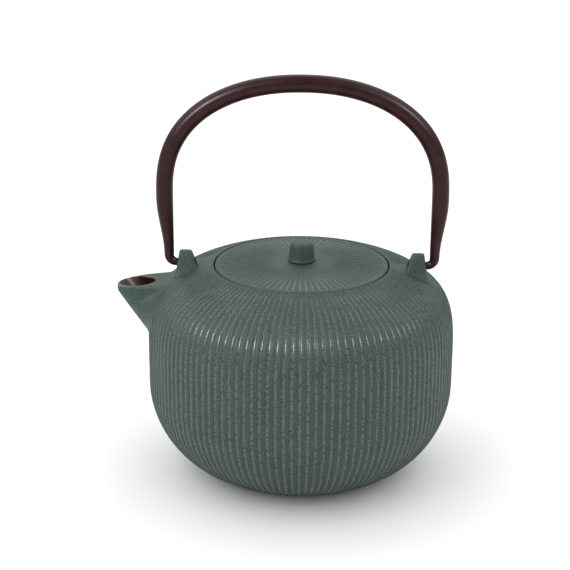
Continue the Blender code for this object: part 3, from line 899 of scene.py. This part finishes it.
# %% [markdown]
# ## Marks on the surface that the paint follows
# Two numbers are stored at every point of the castings. "groove" says how deep in a groove the
# point lies, because the top colour is wiped on and stays off the floors, and "worn" says where
# hands, tea and the lid have rubbed the edges. They are read from the finished shape, so cuts and
# joins can't disturb them.

# %% Store groove and wear
def store(piece, name, values):
    marks = piece.data.attributes.new(name, "FLOAT", "POINT")
    marks.data.foreach_set("value", np.asarray(values, np.float32))
    print(f"{piece.name} {name}: {int((np.asarray(values) > 0.1).sum())} points marked")


co = points_of(pot)
r = np.hypot(co[:, 0], co[:, 1])
lip_z = lip_height(co[:, 0])
skin_gap = from_body(co)
on_skin = (skin_gap > -0.75 * MM) & (skin_gap < 0.15 * MM)
store(pot, "groove", np.where(on_skin, groove_share(co) * ribbed(co), 0))

oval_long, oval_wide = CHANNEL_HALF_LONG + 0.1 * MM, CHANNEL_HALF_WIDE + 0.1 * MM
oval = np.hypot((co[:, 0] - mouth_x) / oval_long, co[:, 1] / oval_wide)
at_lip = 1 - ramp(np.abs(oval - 1) * CHANNEL_HALF_WIDE, 0.1 * MM, 0.5 * MM)
at_lip *= ramp(co[:, 2], lip_z - 1.0 * MM, lip_z - 0.6 * MM) * (co[:, 0] < -70 * MM)
at_mouth = 1 - ramp(np.abs(r - MOUTH_R - 0.3 * MM), 0.3 * MM, 0.9 * MM)
at_mouth *= co[:, 2] > 107.4 * MM
store(pot, "worn", np.maximum(at_lip, 0.30 * at_mouth))

co = points_of(lid)
r = np.hypot(co[:, 0], co[:, 1])
above_top = co[:, 2] - lid_top(r)
on_top = (above_top < 0.05 * MM) & (above_top > -0.5 * MM)
store(lid, "groove", np.where(on_top, ray_share(co), 0))
at_edge = ramp(r, LID_R - 0.8 * MM, LID_R - 0.3 * MM) * (co[:, 2] > RIM_Z - 0.9 * MM)
store(lid, "worn", 0.4 * at_edge)

# %% [markdown]
# ## Finishes
# Colours are written as the eye reads them, in sRGB hex, and one function turns them into the
# linear numbers that light works with. One more function adds a node, sets it and links it.

# %% Colour and node helpers
def hex_colour(code):
    rgb = [int(code[i : i + 2], 16) / 255 for i in (1, 3, 5)]
    linear = [c / 12.92 if c <= 0.04045 else ((c + 0.055) / 1.055) ** 2.4 for c in rgb]
    return (*linear, 1.0)


def add(tree, kind, feeds=None, take=0, **settings):
    """Adds a node and gives the output to take; feeds holds a value or a link for each input."""
    made = tree.nodes.new("ShaderNode" + kind)
    for key, value in settings.items():
        setattr(made, key, value)
    for socket, value in (feeds or {}).items():
        if isinstance(value, bpy.types.NodeSocket):
            tree.links.new(value, made.inputs[socket])
        else:
            made.inputs[socket].default_value = value
    return made.outputs[take]


def new_finish(name):
    """A material with its node tree and its shader."""
    made = bpy.data.materials.new(name)
    made.use_nodes = True
    return made, made.node_tree, made.node_tree.nodes["Principled BSDF"]


def feed_shader(tree, shader, colour, roughness, normal):
    for socket, output in (("Base Color", colour), ("Roughness", roughness), ("Normal", normal)):
        tree.links.new(output, shader.inputs[socket])


print("middle grey in linear numbers:", [round(c, 3) for c in hex_colour("#808080")[:3]])

# %% [markdown]
# ### Green enamel on sand-cast iron
# The outside is sand-cast iron with a dark brown ground coat and a satin grey-green enamel wiped
# over it. The green is dull and slightly grainy from the sand, about 0.3 mm a grain, drawn here at
# 0.9 mm so that it shows. On the floors of the grooves the glossier ground coat is left bare,
# speckled with a paler grey that is partly painted reflection of the pale surround. At worn edges
# a pale greyish brown comes through.

# %% Green enamel
GRAIN, CLOUD, PITS = 0.9 * MM, 14 * MM, 3.2 * MM
GREEN, LIGHT_GREEN, WORN_BROWN = "#263B31", "#3C5248", "#8A7570"
SATIN, GLOSSY = 0.60, 0.22
BUMP_HEIGHT = 0.12 * MM


def green_enamel(name, ground, dusty_grey_and_sheen):
    """Satin green; bare groove floors mix the ground coat with a paler grey, partly painted
    reflection.
    """
    made, tree, shader = new_finish(name)
    place = add(tree, "TexCoord", take="Object")
    grain_looks = {"Vector": place, "Scale": 1 / GRAIN, "Detail": 3.0, "Roughness": 0.6}
    grain = add(tree, "TexNoise", grain_looks)
    cloud_looks = {"Vector": place, "Scale": 1 / CLOUD, "Detail": 3.0}
    cloud = add(tree, "TexNoise", cloud_looks)
    groove = add(tree, "Attribute", take="Fac", attribute_name="groove")
    worn = add(tree, "Attribute", take="Fac", attribute_name="worn")

    # the grain makes the line between green and bare floor ragged
    ragged = add(tree, "Math", {0: grain, 1: 0.5, 2: groove}, operation="MULTIPLY_ADD")
    bare_range = {"Value": ragged, "From Min": 0.92, "From Max": 1.22}
    bare = add(tree, "MapRange", bare_range)
    mottle = add(tree, "Math", {0: cloud, 1: 0.25, 2: grain}, operation="MULTIPLY_ADD")
    tint_range = {"Value": mottle, "From Min": 0.47, "From Max": 0.78}
    tint = add(tree, "MapRange", tint_range)
    # the paler grey speckled into the floors is partly painted reflection of the pale surround
    speck_range = {"Value": grain, "From Min": 0.38, "From Max": 0.50}
    speck = add(tree, "MapRange", speck_range)

    greens = {0: tint, 6: hex_colour(GREEN), 7: hex_colour(LIGHT_GREEN)}
    green = add(tree, "Mix", greens, take=2, data_type="RGBA")
    browns = {0: speck, 6: hex_colour(ground), 7: hex_colour(dusty_grey_and_sheen)}
    floors = add(tree, "Mix", browns, take=2, data_type="RGBA")
    coat = add(tree, "Mix", {0: bare, 6: green, 7: floors}, take=2, data_type="RGBA")
    rub = add(tree, "Math", {0: grain, 1: 0.6, 2: worn}, operation="MULTIPLY_ADD")
    rub_range = {"Value": rub, "From Min": 0.62, "From Max": 1.1, "To Max": 0.8}
    rubbed = add(tree, "MapRange", rub_range)
    worn_coat = {0: rubbed, 6: coat, 7: hex_colour(WORN_BROWN)}
    colour = add(tree, "Mix", worn_coat, take=2, data_type="RGBA")

    gloss = add(tree, "MapRange", {"Value": bare, "To Min": SATIN, "To Max": GLOSSY})
    pit_looks = {"Vector": place, "Scale": 1 / PITS, "Detail": 2.0}
    pits = add(tree, "TexNoise", pit_looks)
    height = add(tree, "Math", {0: pits, 1: 1.2, 2: grain}, operation="MULTIPLY_ADD")
    rough = add(tree, "MapRange", {"Value": bare, "To Min": 0.8, "To Max": 0.12})
    sand = {"Height": height, "Strength": rough, "Distance": BUMP_HEIGHT}
    feed_shader(tree, shader, colour, gloss, add(tree, "Bump", sand))
    shader.inputs["Specular IOR Level"].default_value = 0.35
    return made


# second colour: the floors' paler grey, partly painted reflection, kept darker on the lid
pot_green = green_enamel("green_enamel_on_cast_iron", "#351F20", "#5E635C")
lid_green = green_enamel("green_enamel_on_the_lid", "#3C2C2A", "#564F49")
print(pot_green.name, lid_green.name, "nodes:", len(pot_green.node_tree.nodes))

# %% [markdown]
# ### Brown enamels
# The inside of the pot and the lip are lined with a glassy dark brown enamel, which reflects
# sharply. The handle has a sprayed brown enamel on steel: satin, with a fine orange peel about
# 1.5 mm wide.

# %% Brown enamels
BROWN_CLOUD = 6 * MM


def brown_enamel(name, dark, light, roughness, peel, gleam):
    """Two browns in soft clouds; peel is the width of the orange peel, gleam the specular level."""
    made, tree, shader = new_finish(name)
    place = add(tree, "TexCoord", take="Object")
    cloud_looks = {"Vector": place, "Scale": 1 / BROWN_CLOUD, "Detail": 4.0}
    cloud = add(tree, "TexNoise", cloud_looks)
    tint = add(tree, "MapRange", {"Value": cloud, "From Min": 0.35, "From Max": 0.7})
    browns = {0: tint, 6: hex_colour(dark), 7: hex_colour(light)}
    colour = add(tree, "Mix", browns, take=2, data_type="RGBA")
    gloss_range = {"Value": cloud, "To Min": roughness - 0.05, "To Max": roughness + 0.05}
    gloss = add(tree, "MapRange", gloss_range)
    skin = add(tree, "TexNoise", {"Vector": place, "Scale": 1 / peel, "Detail": 2.0})
    orange_peel = {"Height": skin, "Strength": 0.4, "Distance": 0.08 * MM}
    feed_shader(tree, shader, colour, gloss, add(tree, "Bump", orange_peel))
    shader.inputs["Specular IOR Level"].default_value = gleam
    return made


lining = brown_enamel("glassy_brown_lining_enamel", "#2A1616", "#4A2E2C", 0.34, 3.0 * MM, 0.4)
on_steel = ("#290E12", "#351619", 0.32, 1.5 * MM, 0.20)
handle_brown = brown_enamel("satin_brown_enamel_on_steel", *on_steel)
print(lining.name, handle_brown.name)

# %% [markdown]
# ### Bare steels
# The strainer is brushed stainless sheet: long fine scratches round it, which spread the highlights
# upwards. The rivet and its washer are turned steel, a little darker.

# %% Bare steels
SCRATCHES = 900  # per metre before they are stretched, so about 0.7 mm apart up the basket


def bare_steel(name, colour, roughness, stretch):
    """Steel with scratches; stretch squeezes the pattern along x, y and z."""
    made, tree, shader = new_finish(name)
    place = add(tree, "TexCoord", take="Object")
    across = add(tree, "Mapping", {"Vector": place, "Scale": stretch})
    scratch_looks = {"Vector": across, "Scale": SCRATCHES, "Detail": 3.0}
    lines = add(tree, "TexNoise", scratch_looks)
    greys = {0: lines, 6: hex_colour(colour), 7: hex_colour("#D8D6D2")}
    shade = add(tree, "Mix", greys, take=2, data_type="RGBA")
    gloss_range = {"Value": lines, "To Min": roughness - 0.08, "To Max": roughness + 0.08}
    gloss = add(tree, "MapRange", gloss_range)
    grooves = {"Height": lines, "Strength": 0.25, "Distance": 0.04 * MM}
    feed_shader(tree, shader, shade, gloss, add(tree, "Bump", grooves))
    shader.inputs["Metallic"].default_value = 1.0
    return made


stainless = bare_steel("brushed_stainless_sheet", "#B9B8B4", 0.30, (0.05, 0.05, 1.6))
rivet_steel = bare_steel("turned_rivet_steel", "#8E8C89", 0.38, (1.0, 1.0, 0.2))
print(stainless.name, rivet_steel.name)

# %% [markdown]
# ## Dressing the pieces
# Each piece gets its finish. The castings get a second one, the lining: on the inside of the pot,
# down the channel of the spout and under the lid, face by face.

# %% Give each piece its finish
def dress(piece, *finishes):
    piece.data.materials.clear()
    for finish in finishes:
        piece.data.materials.append(finish)


def line_inside(piece, inside):
    """The second finish on the faces whose middles lie inside."""
    faces = piece.data.polygons
    middles = np.empty(len(faces) * 3)
    faces.foreach_get("center", middles)
    lined = inside(middles.reshape(-1, 3))
    faces.foreach_set("material_index", lined.astype(np.int32))
    piece.data.update()
    print(f"{piece.name}: {int(lined.sum())} faces lined")


def in_channel(c):
    """True inside the oval channel of the spout, which leans towards the body as it goes down."""
    deep = np.maximum(mouth_z - c[:, 2], 0)
    along = c[:, 0] - mouth_x + CHANNEL_LEAN * deep
    oval = np.hypot(along / CHANNEL_HALF_LONG, c[:, 1] / CHANNEL_HALF_WIDE)
    below_lip = c[:, 2] < lip_height(c[:, 0]) - 0.15 * MM
    return (oval < 1.02) & (c[:, 0] < -70 * MM) & below_lip


def in_pot(c):
    return (from_pot(c) < -0.75 * MM) & (c[:, 2] > 1.5 * MM) | in_channel(c)


dress(pot, pot_green, lining)
line_inside(pot, in_pot)
dress(lid, lid_green, lining)
line_inside(lid, lambda c: c[:, 2] < LID_UNDER + 0.3 * MM)
dress(knob, pot_green)
for piece in (tube, end_front, end_back):
    dress(piece, handle_brown)
for piece in (sleeve, cup, collar):
    dress(piece, stainless)
for name in ("knob_washer", "knob_rivet"):
    dress(frame["nodes"][name], rivet_steel)

# %% [markdown]
# ## Every piece on its body
# Each piece rides on one of the frame's bodies and stands in for the frame's node of the same
# place.

# %% Ride and replace
pieces = (
    (pot, "pot", "enamelled_iron", "pot_body"),
    (lid, "lid", "enamelled_iron", "lid_plate"),
    (knob, "lid", "enamelled_iron", "lid_knob"),
    (tube, "bail", "bail_enamel", "bail_tube"),
    (end_front, "bail", "bail_enamel", "bail_pin_spout_side"),
    (end_back, "bail", "bail_enamel", "bail_pin_rear"),
    (sleeve, "infuser", "stainless", "infuser_wall"),
    (cup, "infuser", "stainless", "infuser_base"),
    (collar, "infuser", "stainless", "infuser_rim"),
)
for piece, body, slot, node in pieces:
    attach(piece, body)
    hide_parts(node)
    print(piece.name, "rides on", body)

# %% [markdown]
# ## Studio
# The pot stands on a wide pale floor. Two upright strip lights stand half left and half right in
# front and only give the glints on the shoulder, as they are kept from lighting matt surfaces.

# %% Floor and strip lights
clear_bench()
bpy.ops.mesh.primitive_plane_add(size=80, location=(0, 0, -0.2 * MM))
floor_piece = bpy.context.object
floor_piece.name = "studio_floor"
floor_finish, _, floor_shader = new_finish("pale_studio_floor")
floor_shader.inputs["Base Color"].default_value = hex_colour("#FBFBFB")
floor_shader.inputs["Roughness"].default_value = 0.9
floor_piece.data.materials.append(floor_finish)
floor_piece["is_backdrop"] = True


def from_front(azimuth, height):
    """The direction that lies this far to the right of the front, and this high, in degrees."""
    a, e = math.radians(azimuth), math.radians(height)
    return Vector((math.sin(a) * math.cos(e), -math.cos(a) * math.cos(e), math.sin(e)))


def soft_light(name, azimuth, height, distance, size, power):
    """An upright soft box that faces the pot."""
    aim = Vector((0, 0, 0.08))
    spot = aim + distance * from_front(azimuth, height)
    bpy.ops.object.light_add(type="AREA", location=spot)
    box = bpy.context.object
    box.name = name
    box.data.shape = "RECTANGLE"
    box.data.size, box.data.size_y = size
    box.data.energy = power
    box.visible_diffuse = False
    box.rotation_euler = (spot - aim).to_track_quat("Z", "Y").to_euler()
    print(name, "stands at", [round(v, 2) for v in spot])


soft_light("strip_light_left", -44, 33, 1.3, (0.20, 0.40), 16)
soft_light("strip_light_right", 56, 38, 1.3, (0.16, 0.36), 8)

# %% [markdown]
# ### The pale surround
# A surround like the walls and ceiling of a white room lights the pot softly from all sides. It is
# brightest overhead and darker low down and in front, so that the glossy grooves have something
# dark to mirror. Seen directly it is white, so the floor meets it without an edge.

# %% Surround
surround = bpy.data.worlds.new("pale_surround")
surround.use_nodes = True
sky = surround.node_tree
background = sky.nodes["Background"]
background.inputs["Color"].default_value = (1, 1, 1, 1)
toward = add(sky, "TexCoord", take="Generated")
toward_x, toward_y, toward_z = (add(sky, "SeparateXYZ", {0: toward}, axis) for axis in "XYZ")
across = add(sky, "Math", {0: toward_x}, operation="ABSOLUTE")
behind = add(sky, "Math", {0: toward_y, 1: 0.0}, operation="MAXIMUM")
sideways = add(sky, "Math", {0: behind, 1: 0.6, 2: across}, operation="MULTIPLY_ADD")
wing_range = {"Value": sideways, "From Min": 0.12, "From Max": 0.42, "To Min": 0.20}
wings = add(sky, "MapRange", wing_range)
height_range = {"From Min": 0.05, "From Max": 0.55, "To Min": 0.40, "To Max": 1.85}
height = add(sky, "MapRange", {"Value": toward_z, **height_range})
right_range = {"From Min": 0.2, "From Max": 0.9, "To Min": 1.0, "To Max": 0.7}
shaded = add(sky, "MapRange", {"Value": toward_x, **right_range})
both = add(sky, "Math", {0: wings, 1: height}, operation="MULTIPLY")
lit = add(sky, "Math", {0: both, 1: shaded}, operation="MULTIPLY")
seen_directly = add(sky, "LightPath", take="Is Camera Ray")
pale = add(sky, "Math", {0: lit, 1: seen_directly}, operation="MAXIMUM")
sky.links.new(pale, background.inputs["Strength"])
bpy.context.scene.world = surround
print(surround.name, "nodes:", len(sky.nodes))

# %% [markdown]
# ## Camera
# A long lens from a little above, almost square to the line through spout and lugs.

# %% Camera
CAMERA_AZIMUTH, CAMERA_HEIGHT, CAMERA_REACH = 1.75, 19.72, 0.800
CAMERA_ROLL = math.radians(0.38)
camera_aim = Vector((-0.00835, 0, 0.0966))
eye = camera_aim + CAMERA_REACH * from_front(CAMERA_AZIMUTH, CAMERA_HEIGHT)
bpy.ops.object.camera_add(location=eye)
camera = bpy.context.object
camera.data.lens, camera.data.sensor_width = 98.63, 36
camera.rotation_euler = (eye - camera_aim).to_track_quat("Z", "Y").to_euler()
camera.rotation_euler.rotate_axis("Z", CAMERA_ROLL)
bpy.context.scene.camera = camera
bpy.context.scene.view_settings.view_transform = "Standard"
print("the camera stands at", [round(v, 3) for v in eye])

# %% [markdown]
# ## Size
# The dressed pot has to stay inside the frame's box, so both boxes are printed.

# %% Print both boxes
made_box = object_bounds()
boxes = {"cad": cad_box, "visual": made_box}
for name, box in boxes.items():
    print(name, "box:", [[round(v, 4) for v in corner] for corner in box])
